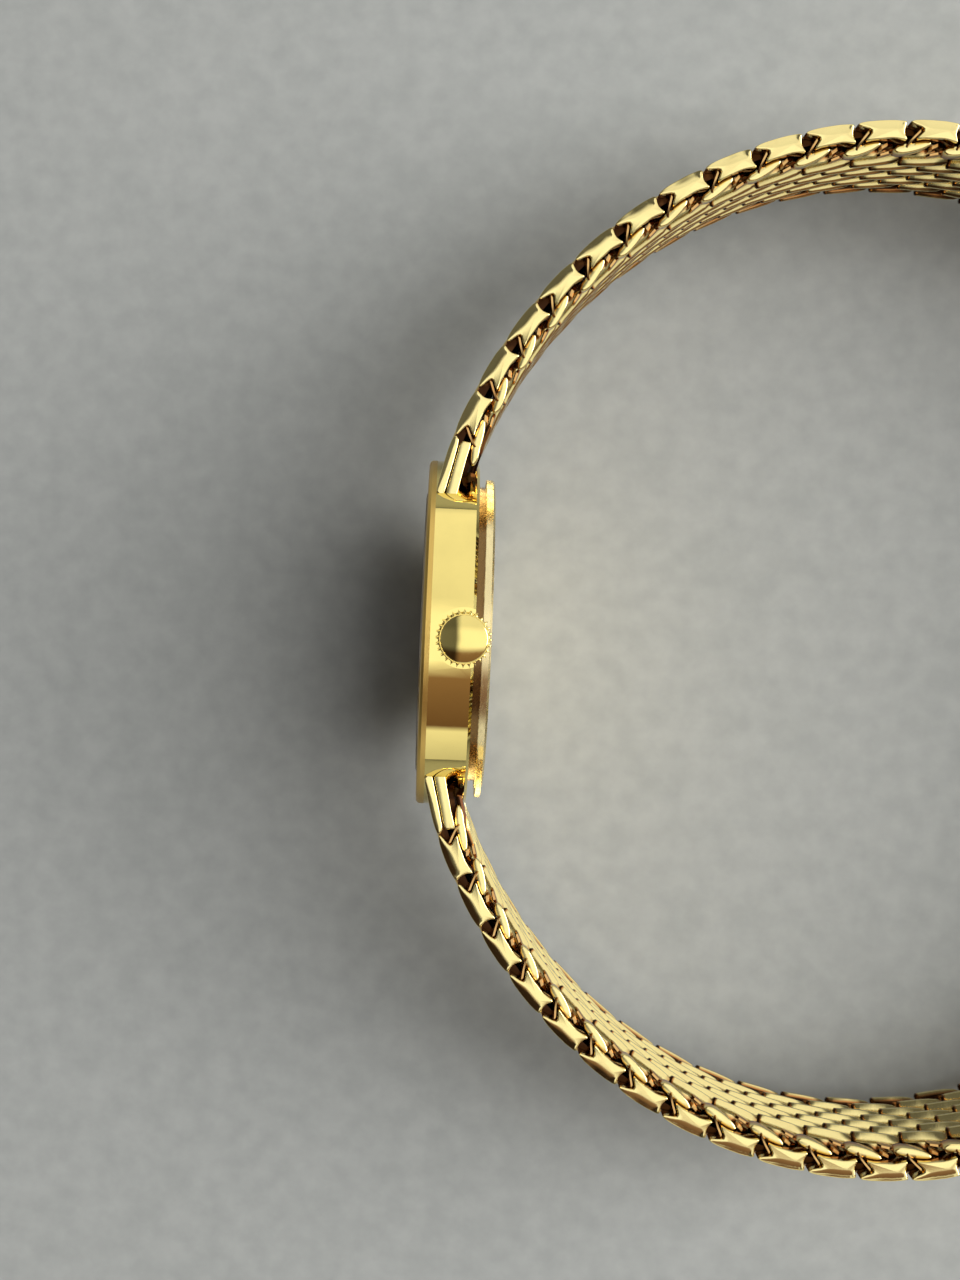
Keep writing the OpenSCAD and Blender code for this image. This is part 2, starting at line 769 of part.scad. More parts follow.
module crown() {
    crown_r = crown_d / 2;
    skirt = 0.6;
    color(gold) on_case() difference() {
        union() {
            translate([crown_u, 0, stem_z]) rotate([0, 90, 0]) linear_extrude(crown_len - 0.25) {
                polygon([for (i = [0:flutes - 1]) for (p = [[0, -0.36], [1, -0.2], [1, 0.2], [0, 0.36]])
                    polar(crown_r - 0.13 * (1 - p[0]), (i + p[1]) * 360 / flutes)]);
            }
            translate([crown_u + crown_len - 0.25, 0, stem_z]) rotate([0, 90, 0]) rotate_extrude() {
                polygon([[0, -0.05], [crown_r - 0.12, -0.05], [crown_r - 0.12, 0.03], [crown_r - 0.25, 0.12],
                    [crown_r - 0.7, 0.2], [0, 0.25]]);
            }
        }
        stem_bar(tube_r + 0.06, crown_u - 0.5, crown_u + skirt);
        stem_bar(stem_r + run_gap, crown_u, crown_u + crown_len - 0.5);
    }
}

module stem() {
    color(steel) on_case() difference() {
        stem_bar(stem_r, stem_end, crown_u + crown_len - 0.55);
        difference() {
            stem_bar(stem_r + 0.2, lever_u - 0.17, lever_u + 0.17);
            stem_bar(stem_r - 0.15, lever_u - 1, lever_u + 1);
        }
    }
}

// A pinion with straight leaves round the stem
module stem_pinion(u0, length, r, count) {
    translate([u0, 0, stem_z]) rotate([0, 90, 0]) linear_extrude(length) difference() {
        teeth(count, r - 0.1, 180);
        circle(r = stem_r + run_gap);
    }
}

module winding_pinion() {
    color(steel) on_case() stem_pinion(winding_u, winding_len, winding_r, winding_leaves);
}

module sliding_pinion() {
    color(steel) on_case() difference() {
        stem_pinion(sliding_u, sliding_len, sliding_r, 12);
        difference() {
            stem_bar(sliding_r + 0.3, sliding_u + 0.32, sliding_u + 0.58);
            stem_bar(stem_r + 0.1, sliding_u, sliding_u + 1);
        }
    }
}

module setting_lever() {
    reach = -stem_r - 0.02 - lever_at[1] + 0.12;
    color(steel) on_case() translate([lever_at[0], lever_at[1], plate_z - 0.26]) {
        linear_extrude(0.12) {
            circle(r = 0.34);
            translate([-0.34, -0.1]) rotate(-20) square([0.3, 0.6]);
            translate([0, -0.16]) square([lever_u - lever_at[0] + 0.1, 0.32]);
            translate([lever_u - lever_at[0] - 0.1, -0.16]) square([0.2, reach + 0.16]);
        }
        cylinder(r = 0.14, h = 0.24);
    }
}

module yoke() {
    tip_u = sliding_u + 0.45;
    reach = -stem_r - 0.14 - yoke_at[1];
    color(steel) on_case() translate([yoke_at[0], yoke_at[1], plate_z - 0.26]) {
        linear_extrude(0.12) {
            circle(r = 0.34);
            translate([tip_u - yoke_at[0] - 0.08, -0.16]) square([yoke_at[0] - tip_u + 0.1, 0.32]);
            translate([tip_u - yoke_at[0] - 0.08, -0.16]) square([0.16, reach + 0.16]);
        }
        cylinder(r = 0.14, h = 0.24);
    }
}

// Bracelet

// Side outline of a link from one pin to the next, at half a pitch
module link_outline(reach_back, reach_front) {
    long = reach_back + half_pitch + reach_front;
    translate([-reach_back, -strap_t / 2]) {
        translate([link_round, 0]) square([long - 2 * link_round, strap_t]);
        translate([0, link_round]) square([long, strap_t - 2 * link_round]);
        for (u = [link_round, long - link_round]) for (v = [link_round, strap_t - link_round]) {
            translate([u, v]) circle(r = link_round, $fn = 24);
        }
    }
}

// Places a side outline on pins i and i + 1, over one line of the width; side is 1 above, -1 below
module on_pins(i, line, side) {
    a = pin_at(i);
    b = pin_at(i + 1);
    turn = atan2(b[1] - a[1], b[0] - a[0]);
    mirror([0, side < 0 ? 1 : 0, 0]) translate([a[0], a[1], -strap_w / 2 + line * line_w + gap / 2]) {
        rotate(turn) linear_extrude(link_w) children();
    }
}

module pin_bar(i, r, side) {
    at = pin_at(i);
    translate([at[0], side * at[1], -strap_w / 2 + gap]) cylinder(r = r, h = strap_w - 2 * gap, $fn = 24);
}

// Outer links, one on each odd line, that are riveted on their two pins
module comb(k, side) {
    for (line = odd_lines) on_pins(2 * k, line, side) link_outline(link_reach, link_reach);
    for (i = [0, 1]) pin_bar(2 * k + i, pin_r, side);
}

// Links, one on each even line, that turn on the pins of two combs
module single_links(k, side) {
    for (line = even_lines) on_pins(2 * k + 1, line, side) difference() {
        link_outline(link_reach, link_reach);
        circle(r = pin_r + run_gap, $fn = 24);
        translate([half_pitch, 0]) circle(r = pin_r + run_gap, $fn = 24);
    }
}

module link_segment(number, side) {
    color(gold) for (k = [(number - 1) * segment_links:number * segment_links - 1]) {
        comb(k, side);
        single_links(k, side);
    }
}

// A soldered piece that carries the first hinge of the bracelet
module end_piece(side) {
    a = pin_at(0);
    b = pin_at(1);
    turn = atan2(b[1] - a[1], b[0] - a[0]);
    back = 5;
    color(gold) mirror([0, side < 0 ? 1 : 0, 0]) difference() {
        translate([a[0], a[1], -strap_w / 2 + gap]) rotate(turn) union() {
            translate([-back, -strap_t / 2, 0]) cube([back - link_reach - 0.12, strap_t, strap_w - 2 * gap]);
            for (line = even_lines) translate([0, 0, line * line_w - gap / 2]) linear_extrude(link_w) {
                translate([-back, -strap_t / 2]) square([back + 0.1, strap_t]);
                circle(r = strap_t / 2 - 0.2);
            }
        }
        rotate([0, -90, 0]) cylinder(r = case_r + 0.02, h = 20, center = true, $fn = 96);
        pin_bar(0, pin_r + run_gap, 1);
    }
}

// Clasp

// A leaf of the clasp that carries the last hinge pin and reaches from its knuckles to y1
module clasp_leaf(x0, y1, side) {
    pin_bar(steps, pin_r, side);
    for (line = odd_lines) {
        z0 = -strap_w / 2 + line * line_w + gap / 2;
        translate([clasp_x, side * clasp_y, z0]) cylinder(r = 0.62, h = link_w, $fn = 24);
        translate([x0, min(side * clasp_y, side * (clasp_y - 1.2)), z0]) cube([clasp_x - x0 + 0.3, 1.2, link_w]);
    }
    y0 = side * (clasp_y - link_reach - 0.16);
    translate([x0, min(y0, y1), -plate_w / 2]) cube([leaf_t, abs(y1 - y0), plate_w]);
}

module clasp_ladder() {
    ladder_end = 2.6;
    window = 1.7;
    color(gold) {
        difference() {
            clasp_leaf(ladder_x, ladder_end, -1);
            for (y = [ladder_end - bar_w - window, ladder_end - 2 * bar_w - 2 * window]) {
                translate([ladder_x - 1, y, -plate_w / 2 + 1.4]) cube([3, window, plate_w - 2.8]);
            }
        }
        for (z = [-plate_w / 2, plate_w / 2 - 2.2]) {
            difference() {
                union() {
                    translate([cover_hinge_x, cover_hinge_y, z]) cylinder(r = hinge_r, h = 2.2, $fn = 24);
                    translate([ladder_x, cover_hinge_y - hinge_r, z]) {
                        cube([cover_hinge_x - ladder_x, 2 * hinge_r, 2.2]);
                    }
                }
                translate([cover_hinge_x, cover_hinge_y, z - 1]) cylinder(r = 0.28, h = 5, $fn = 24);
            }
        }
    }
}

module clasp_hook() {
    tongue_y = 2.6 - bar_w - 0.55;
    tongue_w = plate_w - 4.4;
    color(gold) {
        clasp_leaf(hook_x, 2.9, 1);
        translate([hook_x, tongue_y - 0.45, -tongue_w / 2]) cube([leaf_t, 2.9 - tongue_y + 0.45 + 0.1, tongue_w]);
        translate([ladder_x - 0.1, tongue_y - 0.45, -tongue_w / 2]) cube([hook_x - ladder_x + 0.3, 0.45, tongue_w]);
    }
}

module clasp_cover() {
    knuckle = plate_w - 4.4 - 0.2;
    reach = 2 * (clasp_y - 0.9) - 1.9;
    color(gold) difference() {
        union() {
            translate([cover_x, cover_hinge_y, -plate_w / 2]) cube([cover_t, reach, plate_w]);
            translate([cover_hinge_x, cover_hinge_y, -knuckle / 2]) cylinder(r = hinge_r, h = knuckle, $fn = 24);
        }
        for (z = [-plate_w / 2 - 1, plate_w / 2 - 2.3]) {
            translate([cover_x - 1, cover_hinge_y - 1, z]) cube([3, 1.7, 3.3]);
        }
        translate([cover_hinge_x, cover_hinge_y, -plate_w]) cylinder(r = 0.25 + run_gap, h = 2 * plate_w, $fn = 24);
    }
}

module clasp_pin() {
    color(steel) translate([cover_hinge_x, cover_hinge_y, -plate_w / 2 + 0.1]) {
        cylinder(r = 0.25, h = plate_w - 0.2, $fn = 24);
    }
}

case_band();
bezel();
crystal();
crystal_gasket();
case_back();
back_gasket();
crown_tube();
movement_ring();
dial();
hour_markers();
main_plate();
barrel_bridge();
train_bridge();
balance_cock();
pallet_bridge();
screws();
jewels();
hairspring();
minute_hand();
cannon_pinion();
centre_wheel();
hour_hand();
hour_wheel();
minute_wheel();
barrel();
mainspring();
barrel_arbor();
ratchet_wheel();
crown_wheel();
click();
third_wheel();
fourth_wheel();
escape_wheel();
pallet_fork();
balance_wheel();
crown();
stem();
winding_pinion();
sliding_pinion();
setting_lever();
yoke();
end_piece(1);  // upper_end_piece
end_piece(-1);  // lower_end_piece
link_segment(1, 1);  // upper_links_1
link_segment(2, 1);  // upper_links_2
link_segment(3, 1);  // upper_links_3
link_segment(4, 1);  // upper_links_4
link_segment(5, 1);  // upper_links_5
link_segment(6, 1);  // upper_links_6
link_segment(1, -1);  // lower_links_1
link_segment(2, -1);  // lower_links_2
link_segment(3, -1);  // lower_links_3
link_segment(4, -1);  // lower_links_4
link_segment(5, -1);  // lower_links_5
link_segment(6, -1);  // lower_links_6
clasp_hook();
clasp_ladder();
clasp_cover();
clasp_pin();
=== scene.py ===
import json
import math

import bmesh
import bpy
import numpy as np
from mathutils import Matrix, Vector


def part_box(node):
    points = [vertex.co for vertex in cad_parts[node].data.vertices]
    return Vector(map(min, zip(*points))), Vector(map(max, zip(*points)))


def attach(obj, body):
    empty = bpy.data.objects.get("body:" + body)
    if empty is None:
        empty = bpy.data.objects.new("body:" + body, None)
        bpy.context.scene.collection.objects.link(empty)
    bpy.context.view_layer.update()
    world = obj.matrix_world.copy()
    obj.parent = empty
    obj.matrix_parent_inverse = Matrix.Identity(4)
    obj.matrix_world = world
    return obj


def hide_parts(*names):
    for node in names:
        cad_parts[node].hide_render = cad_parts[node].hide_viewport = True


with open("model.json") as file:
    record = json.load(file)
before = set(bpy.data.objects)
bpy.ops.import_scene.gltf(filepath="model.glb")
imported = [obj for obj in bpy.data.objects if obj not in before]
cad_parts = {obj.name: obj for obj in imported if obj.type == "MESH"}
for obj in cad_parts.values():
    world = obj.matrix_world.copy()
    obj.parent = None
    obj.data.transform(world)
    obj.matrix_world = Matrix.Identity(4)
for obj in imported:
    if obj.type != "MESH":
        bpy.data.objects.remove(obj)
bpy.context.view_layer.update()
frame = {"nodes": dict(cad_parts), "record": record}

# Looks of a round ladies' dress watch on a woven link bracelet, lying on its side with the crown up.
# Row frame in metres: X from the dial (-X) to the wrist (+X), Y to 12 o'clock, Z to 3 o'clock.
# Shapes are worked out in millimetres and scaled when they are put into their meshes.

MM = 0.001
GOLD = (0.90, 0.73, 0.25)

# Camera

SENSOR = 36.0
IMAGE_HEIGHT = 1280
FOCAL_PIXELS = 1922
camera = bpy.data.cameras.new("camera")
camera.sensor_width = SENSOR
camera.lens = SENSOR * FOCAL_PIXELS / IMAGE_HEIGHT
camera.clip_start = 0.01
camera.clip_end = 5
camera_object = bpy.data.objects.new("camera", camera)
bpy.context.scene.collection.objects.link(camera_object)
CAMERA_AT = (-3.06 * MM, 2.94 * MM, 118.18 * MM)
CAMERA_TILTS = ((-1.60, "X"), (-1.26, "Y"), (2.41, "Z"))
tilts = [Matrix.Rotation(math.radians(degrees), 4, axis) for degrees, axis in CAMERA_TILTS]
camera_object.matrix_world = Matrix.Translation(CAMERA_AT) @ tilts[0] @ tilts[1] @ tilts[2]
bpy.context.scene.camera = camera_object
bpy.context.scene.view_settings.view_transform = "Standard"

# Materials


class Nodes:
    """A material under construction: add() makes a node, link() joins two sockets."""

    def __init__(self, name):
        self.material = bpy.data.materials.new(name)
        self.material.use_nodes = True
        self.tree = self.material.node_tree
        self.shader = self.tree.nodes["Principled BSDF"]

    def add(self, kind, **values):
        """A node with the given settings and input values."""
        node = self.tree.nodes.new(kind)
        for key, value in values.items():
            if hasattr(node, key) and key not in node.inputs:
                setattr(node, key, value)
            else:
                node.inputs[key].default_value = value
        return node

    def link(self, source, target):
        """Joins an output to an input."""
        self.tree.links.new(source, target)

    def where(self, stretch=(1, 1, 1), uv=False):
        """Coordinates of the piece, stretched: Object by default, or its own UV map."""
        coordinates = self.add("ShaderNodeTexCoord")
        mapping = self.add("ShaderNodeMapping", Scale=stretch)
        self.link(coordinates.outputs["UV" if uv else "Object"], mapping.inputs["Vector"])
        return mapping.outputs["Vector"]

    def noise(self, scale, stretch=(1, 1, 1), detail=3.0, uv=False):
        """A noise pattern of the given scale per metre of the piece, or per unit of its UV map."""
        node = self.add("ShaderNodeTexNoise", Scale=scale, Detail=detail)
        self.link(self.where(stretch, uv), node.inputs["Vector"])
        return node.outputs["Fac"]

    def ramp(self, source, low, high, target, start=0.35, end=0.65):
        """Turns a 0 to 1 pattern into a value between low and high on the target socket."""
        node = self.add("ShaderNodeMapRange")
        for key, value in (("From Min", start), ("From Max", end), ("To Min", low), ("To Max", high)):
            node.inputs[key].default_value = value
        self.link(source, node.inputs["Value"])
        self.link(node.outputs["Result"], target)

    def tint(self, source, first, second, start=0.35, end=0.65):
        """Colours the surface from first to second as the pattern goes from start to end."""
        node = self.add("ShaderNodeValToRGB")
        node.color_ramp.elements[0].position = start
        node.color_ramp.elements[0].color = (*first, 1)
        node.color_ramp.elements[1].position = end
        node.color_ramp.elements[1].color = (*second, 1)
        self.link(source, node.inputs["Fac"])
        self.link(node.outputs["Color"], self.shader.inputs["Base Color"])

    def bump(self, source, height, distance=0.0001):
        """Raises the surface by the pattern, in metres at full strength."""
        node = self.add("ShaderNodeBump", Strength=height, Distance=distance)
        self.link(source, node.inputs["Height"])
        self.link(node.outputs["Normal"], self.shader.inputs["Normal"])

    def set(self, **values):
        """Sets values on the shader's own sockets."""
        for key, value in values.items():
            self.shader.inputs[key.replace("_", " ")].default_value = value


def polished_gold(name, colour=GOLD, rough=0.06, wear=0.07):
    """Polished gold: cloudy tone, hairline wear in the gloss and a slight unevenness of the surface."""
    m = Nodes(name)
    m.set(Metallic=1.0)
    m.tint(m.noise(420), tuple(c * 0.97 for c in colour), tuple(min(c * 1.03, 1) for c in colour))
    m.ramp(m.noise(2600, (1, 0.12, 1), 5), rough, rough + wear, m.shader.inputs["Roughness"])
    m.bump(m.noise(900, detail=2), 0.03, 0.00004)
    return m.material


def satin_gold(name, colour=GOLD, stretch=(1, 1, 8), rough=0.2):
    """Satin gold: fine grain lines in the gloss and in the surface."""
    m = Nodes(name)
    m.set(Metallic=1.0)
    grain = m.noise(9000, stretch, 4)
    m.tint(grain, tuple(c * 0.93 for c in colour), colour)
    m.ramp(grain, rough, rough + 0.14, m.shader.inputs["Roughness"])
    m.bump(grain, 0.12, 0.00002)
    return m.material


def link_gold(name):
    """Gold of the woven links: fine drawn lines along each link, and painted shade in the joints that turns
    the gold copper, then almost black, the deeper the point lies."""
    m = Nodes(name)
    m.set(Metallic=1.0)
    lines = m.noise(60, (0.05, 1, 1), 4, uv=True)
    # Painted shade in the joints: each point's depth, read from the points' attribute
    depth = m.add("ShaderNodeAttribute", attribute_name="painted_shade")
    cloud = m.add("ShaderNodeMath", operation="MULTIPLY_ADD")
    cloud.inputs[1].default_value = 0.25
    m.link(m.noise(900), cloud.inputs[0])
    m.link(depth.outputs["Fac"], cloud.inputs[2])
    # Painted shade and painted reflection: gold, then copper, then almost black as the depth grows
    m.tint(cloud.outputs[0], (0.90, 0.75, 0.33), (0.035, 0.014, 0.006), 0.12, 1.05)
    tones = next(node for node in m.tree.nodes if node.type == "VALTORGB").color_ramp
    tones.elements.new(0.72).color = (0.50, 0.21, 0.06, 1)
    m.ramp(lines, 0.05, 0.16, m.shader.inputs["Roughness"])
    m.bump(lines, 0.06, 0.00003)
    return m.material


def metal(name, dark, light, rough, scale=3000, stretch=(1, 1, 1), height=0.05):
    """A plain metal with grain: two tones, a broken gloss and a fine relief."""
    m = Nodes(name)
    m.set(Metallic=1.0)
    grain = m.noise(scale, stretch, 4)
    m.tint(grain, dark, light)
    m.ramp(grain, rough, rough + 0.12, m.shader.inputs["Roughness"])
    m.bump(grain, height, 0.00002)
    return m.material


def striped_plate(name):
    """Rhodium-plated bridges with broad polished stripes across them."""
    m = Nodes(name)
    m.set(Metallic=1.0)
    wave = m.add("ShaderNodeTexWave", Scale=420.0, Distortion=0.0)
    m.link(m.where((1, 0.8, 0.6)), wave.inputs["Vector"])
    m.tint(wave.outputs["Fac"], (0.60, 0.59, 0.56), (0.74, 0.73, 0.70), 0.2, 0.8)
    m.ramp(m.noise(6000, (1, 6, 1)), 0.16, 0.32, m.shader.inputs["Roughness"])
    m.bump(wave.outputs["Fac"], 0.25, 0.00002)
    return m.material


def silvered_dial(name):
    """Silvered dial with a satin grain and a soft cloud of tone."""
    m = Nodes(name)
    m.set(Metallic=0.35)
    m.tint(m.noise(160), (0.74, 0.72, 0.66), (0.82, 0.80, 0.74))
    m.ramp(m.noise(7000, (1, 10, 1)), 0.3, 0.45, m.shader.inputs["Roughness"])
    m.bump(m.noise(9000, (1, 8, 1)), 0.06, 0.00002)
    return m.material


def clear_crystal(name):
    """Clear crystal with a faint unevenness."""
    m = Nodes(name)
    m.set(IOR=1.5, Transmission_Weight=1.0)
    m.tint(m.noise(200), (0.97, 0.98, 0.98), (1.0, 1.0, 1.0))
    m.ramp(m.noise(800), 0.0, 0.03, m.shader.inputs["Roughness"])
    return m.material


def dark_rubber(name):
    """Matt dark rubber with a fine skin."""
    m = Nodes(name)
    m.tint(m.noise(3000), (0.02, 0.02, 0.02), (0.035, 0.035, 0.035))
    m.ramp(m.noise(5000), 0.55, 0.75, m.shader.inputs["Roughness"])
    m.bump(m.noise(6000), 0.2, 0.00001)
    return m.material


def ruby_jewel(name):
    """Polished ruby with a deep tone."""
    m = Nodes(name)
    m.set(IOR=1.76, Transmission_Weight=0.6)
    m.tint(m.noise(4000), (0.45, 0.01, 0.06), (0.6, 0.03, 0.1))
    m.ramp(m.noise(5000), 0.03, 0.08, m.shader.inputs["Roughness"])
    return m.material


def case_back_gold(name):
    """Satin gold of the back: the neck between the case band and the rim is darker."""
    m = Nodes(name)
    m.set(Metallic=1.0)
    parts = m.add("ShaderNodeSeparateXYZ")
    m.link(m.where(), parts.inputs[0])
    height = m.add("ShaderNodeMath", operation="MULTIPLY_ADD")
    height.inputs[1].default_value = -1000.0
    cloud = m.add("ShaderNodeMath", operation="MULTIPLY")
    cloud.inputs[1].default_value = 0.08
    m.link(m.noise(2500), cloud.inputs[0])
    m.link(parts.outputs["X"], height.inputs[0])
    m.link(cloud.outputs[0], height.inputs[2])
    m.tint(height.outputs[0], (0.88, 0.74, 0.40), (0.22, 0.13, 0.05), 0.53, 0.57)
    brushed = m.noise(6000, (1, 0.12, 1), 4)
    m.ramp(brushed, 0.2, 0.3, m.shader.inputs["Roughness"])
    m.bump(brushed, 0.005, 0.00002)
    return m.material


case_gold = polished_gold("case_gold", rough=0.015, wear=0.03)
crown_gold = polished_gold("crown_gold", rough=0.07, wear=0.08)
bezel_gold = satin_gold("bezel_gold", (0.80, 0.54, 0.15), rough=0.28)
bracelet_gold = link_gold("bracelet_gold")
clasp_gold = satin_gold("clasp_gold", stretch=(1, 8, 1), rough=0.12)
steel = metal("polished_steel", (0.55, 0.56, 0.58), (0.66, 0.67, 0.69), 0.12, stretch=(1, 6, 1))
blued_steel = metal("blued_steel", (0.03, 0.07, 0.24), (0.05, 0.11, 0.36), 0.18)
wheel_brass = metal("wheel_brass", (0.66, 0.46, 0.17), (0.76, 0.56, 0.24), 0.2)
plate_metal = striped_plate("plate_metal")
dial_silver = silvered_dial("dial_silver")
crystal_clear = clear_crystal("crystal_clear")
gasket_rubber = dark_rubber("gasket_rubber")
ruby = ruby_jewel("ruby")

finishes = {
    "gold_polished": case_gold, "gold_links": clasp_gold, "crystal": crystal_clear, "dial": dial_silver,
    "gasket": gasket_rubber, "steel": steel, "blued": blued_steel, "wheel_brass": wheel_brass,
    "plate": plate_metal, "ruby": ruby,
}
for part in frame["record"]["subparts"]:
    mesh = frame["nodes"][part["node"]].data
    mesh.materials.clear()
    mesh.materials.append(finishes[part["material_slot"]])
for node, finish in (("bezel", bezel_gold), ("case_back", case_back_gold("case_back_gold"))):
    frame["nodes"][node].data.materials[0] = finish

# Mesh making


def rings_to_faces(rows, columns):
    """Quads between rows of points, each row a closed ring of columns points."""
    here = np.arange(rows - 1)[:, None] * columns
    c = np.arange(columns)[None, :]
    c2 = (c + 1) % columns
    quads = np.stack([here + c, here + c2, here + columns + c2, here + columns + c], -1)
    return quads.reshape(-1, 4).tolist()


def capped(rings):
    """Points and faces of a stack of closed rings (rows, columns, 3) with a flat face on each end."""
    rows, columns = rings.shape[:2]
    faces = rings_to_faces(rows, columns)
    faces.append(list(range(columns))[::-1])
    faces.append(list(range((rows - 1) * columns, rows * columns)))
    return rings.reshape(-1, 3), faces


def placed(shape, frames, flips):
    """Copies of a shape: each frame is (origin, x, y, z) as rows; a flipped copy has its faces turned."""
    points, faces = shape
    corners = frames[:, None, 0] + np.einsum("ki,nij->nkj", points, frames[:, 1:])
    every = []
    for i, flip in enumerate(flips):
        base = i * len(points)
        every += [[base + v for v in (face[::-1] if flip else face)] for face in faces]
    return corners.reshape(-1, 3), every


def merged(shapes):
    """One set of points and faces from several."""
    points, faces, base = [], [], 0
    for p, f in shapes:
        points.append(p)
        faces += [[base + v for v in face] for face in f]
        base += len(p)
    return np.concatenate(points), faces


def without_slivers(mesh, apart=1e-7):
    """Merges points closer than a tenth of a micrometre, such as the rings of a plate that has no shoulder,
    and drops the empty faces between them."""
    form = bmesh.new()
    form.from_mesh(mesh)
    bmesh.ops.remove_doubles(form, verts=form.verts, dist=apart)
    bmesh.ops.dissolve_degenerate(form, dist=apart, edges=form.edges)
    form.to_mesh(mesh)
    form.free()


def piece(name, shape, finish, body, nodes, angle, uv=None, painted_shade=None):
    """Puts points in millimetres and faces into an object that rides on a body and replaces nodes. Edges
    sharper than the angle, in degrees, stay sharp."""
    points, faces = shape
    mesh = bpy.data.meshes.new(name)
    mesh.from_pydata((points * MM).tolist(), [], faces)
    mesh.update()
    if uv is not None:
        layer = mesh.uv_layers.new(name="UVMap")
        corner_points = np.empty(len(mesh.loops), np.int32)
        mesh.loops.foreach_get("vertex_index", corner_points)
        layer.data.foreach_set("uv", uv[corner_points].astype(np.float32).ravel())
    # Painted shade of each point in the joints, kept as a point attribute for the links' gold
    if painted_shade is not None:
        mesh.attributes.new("painted_shade", "FLOAT", "POINT").data.foreach_set("value", painted_shade.astype(np.float32))
    without_slivers(mesh)
    mesh.shade_smooth()
    mesh.set_sharp_from_angle(angle=math.radians(angle))
    mesh.materials.append(finish)
    made = bpy.data.objects.new(name, mesh)
    bpy.context.scene.collection.objects.link(made)
    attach(made, body)
    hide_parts(*nodes)


# Bracelet loop: the same ellipse and pins as the CAD part, in millimetres

PITCH = 3.0
LINES = 10
LINE_W = 1.3
LOOP_A, LOOP_B, LOOP_X = 28.110466, 30.129116, 24.284644
FIRST_PIN_Y = 12.0
angles = np.radians(np.degrees(math.asin(FIRST_PIN_Y / LOOP_B)) + np.arange(182))
loop = np.stack([LOOP_X - LOOP_A * np.cos(angles), LOOP_B * np.sin(angles)], -1)
walked = np.concatenate([[0], np.cumsum(np.linalg.norm(np.diff(loop, axis=0), axis=1))])


def pin_at(i):
    """Centre of pin i of the upper half, in X and Y, from the arc length of 1.5 mm a pin."""
    angle = np.interp(i * PITCH / 2, walked, angles)
    return np.stack([LOOP_X - LOOP_A * np.cos(angle), LOOP_B * np.sin(angle)], -1)


def link_frames(first, count, side):
    """Frames of links whose first pins are first, first + 2, ...: origin between the two pins, x away
    from the case, y out of the loop, z to the crown's side. Lower half frames are mirrored in Y."""
    i = first + 2 * np.arange(count)
    a, b = pin_at(i), pin_at(i + 1)
    along = (b - a) / np.linalg.norm(b - a, axis=1, keepdims=True)
    frames = np.zeros((count, 4, 3))
    frames[:, 0, :2] = (a + b) / 2
    frames[:, 1, :2] = along
    frames[:, 2, :2] = np.stack([-along[:, 1], along[:, 0]], -1)
    frames[:, 3, 2] = 1
    frames[:, :, 1] *= side
    return frames


def strand(stations, columns=8, square=0.8, section=None):
    """A closed strand along x. Each station gives x, low and high y, low and high z; round the section the
    point is the middle plus half the size times sign(cos v) |cos v|^square in z, and the same sine in y,
    or the given section's own shares of the half sizes, z first."""
    x, y0, y1, z0, z1 = np.array(stations, float).T[:, :, None]
    v = 2 * math.pi * (np.arange(columns) + 0.5) / columns
    c = np.sign(np.cos(v)) * np.abs(np.cos(v)) ** square
    d = np.sign(np.sin(v)) * np.abs(np.sin(v)) ** square
    if section is not None:
        c, d = np.array(section).T
    rings = np.stack([x + 0 * c, (y0 + y1 + (y1 - y0) * d) / 2, (z0 + z1 + (z1 - z0) * c) / 2], -1)
    return capped(rings[:, ::-1])


# Fall of a plate's shoulder, as a share of its width
FALL = 0.32


def stamped(outline, low, high, columns=40, soft=0.09, climb=0.0, shoulder=0.0):
    """A flat plate with rounded edges. The outline is walked at even steps and each point is averaged with
    its neighbours. Rings of it are pulled in along its normals: over the edge by soft (1 - cos t), where the
    height falls short by soft (1 - sin t), then over the shoulder by its width times w, where it falls short
    by FALL of the width times (1 - w)^2. The shoulder is on the side that faces +y and narrows towards the
    fork; the whole plate climbs by its share of x."""
    line = np.array(outline + outline[:1], float)
    reach = np.concatenate([[0], np.cumsum(np.linalg.norm(np.diff(line, axis=0), axis=1))])
    step = np.linspace(0, reach[-1], columns, endpoint=False)
    edge = np.stack([np.interp(step, reach, line[:, 0]), np.interp(step, reach, line[:, 1])], -1)
    edge = 0.7 * edge + 0.15 * (np.roll(edge, 1, 0) + np.roll(edge, -1, 0))
    along = np.roll(edge, -1, 0) - np.roll(edge, 1, 0)
    inward = np.stack([-along[:, 1], along[:, 0]], -1) / np.linalg.norm(along, axis=1, keepdims=True)
    outer = np.clip(-inward[:, 1], 0, 1) ** 2 * (edge[:, 1] > 0.6)
    broad = shoulder * outer * np.clip((edge[:, 0] + 1.45) / 1.2, 0, 1)
    broad = (broad + np.roll(broad, 1) + np.roll(broad, -1)) / 3
    t = np.radians([0, 30, 60, 90])[:, None]
    w = np.array([0.3, 0.65, 1.0])[:, None]
    pull = np.concatenate(
        [np.full((1, columns), soft / 2), soft * (1 - np.cos(t)) + 0 * broad, soft + broad * w])
    short = np.concatenate([soft * (1 - np.sin(t)) + FALL * broad, FALL * broad * (1 - w) ** 2])
    height = np.concatenate([np.full((1, columns), low), high - short])
    flat = edge + inward * pull[:, :, None]
    rings = np.concatenate([flat, (height + climb * flat[:, :, 0])[:, :, None]], -1)
    return capped(rings)


def upside_down(shape):
    """The same shape mirrored in z, with its faces turned to point outwards again."""
    points, faces = shape
    return points * [1, 1, -1], [face[::-1] for face in faces]


half_w = LINES * LINE_W / 2
plate_z = half_w - LINE_W + 0.05

